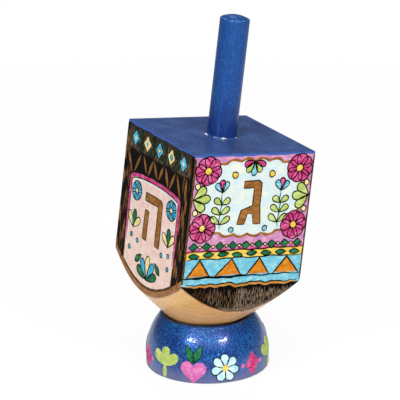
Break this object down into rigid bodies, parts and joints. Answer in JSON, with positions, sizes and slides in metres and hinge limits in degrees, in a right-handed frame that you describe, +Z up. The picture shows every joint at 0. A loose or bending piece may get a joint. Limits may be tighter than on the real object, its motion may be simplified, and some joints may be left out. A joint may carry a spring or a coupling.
{
  "type": "spinning top on a stand",
  "caption": "Painted wooden spinning top with a square body, a turned blunt end and a dowel stem, leaning in a small round dished stand that it spins in and lifts out of.",
  "frame": {"origin": "centre of the stand's flat base", "axes": "+Z up through the stand's axis; the top's front flat side looks along -Y and its left flat side along -X before its lean"},
  "size_m": [0.0521, 0.047, 0.1212],
  "materials": {
    "body_wood": "varnished bare wood under hand-painted sides and a blue top",
    "stem_paint": "glossy varnish over blue paint",
    "stand_paint": "glossy varnish over mottled blue paint"
  },
  "bodies": {
    "stand": {"stand": "stand_paint"},
    "top": {"body": "body_wood", "stem": "stem_paint"}
  },
  "joints": [
    {"name": "spin", "type": "hinge", "parent": "stand", "child": "top", "pos_m": [0.00522, -0.00083, 0.08045], "axis": [0.1187, -0.0188, 0.9928], "continuous": true}
  ]
}
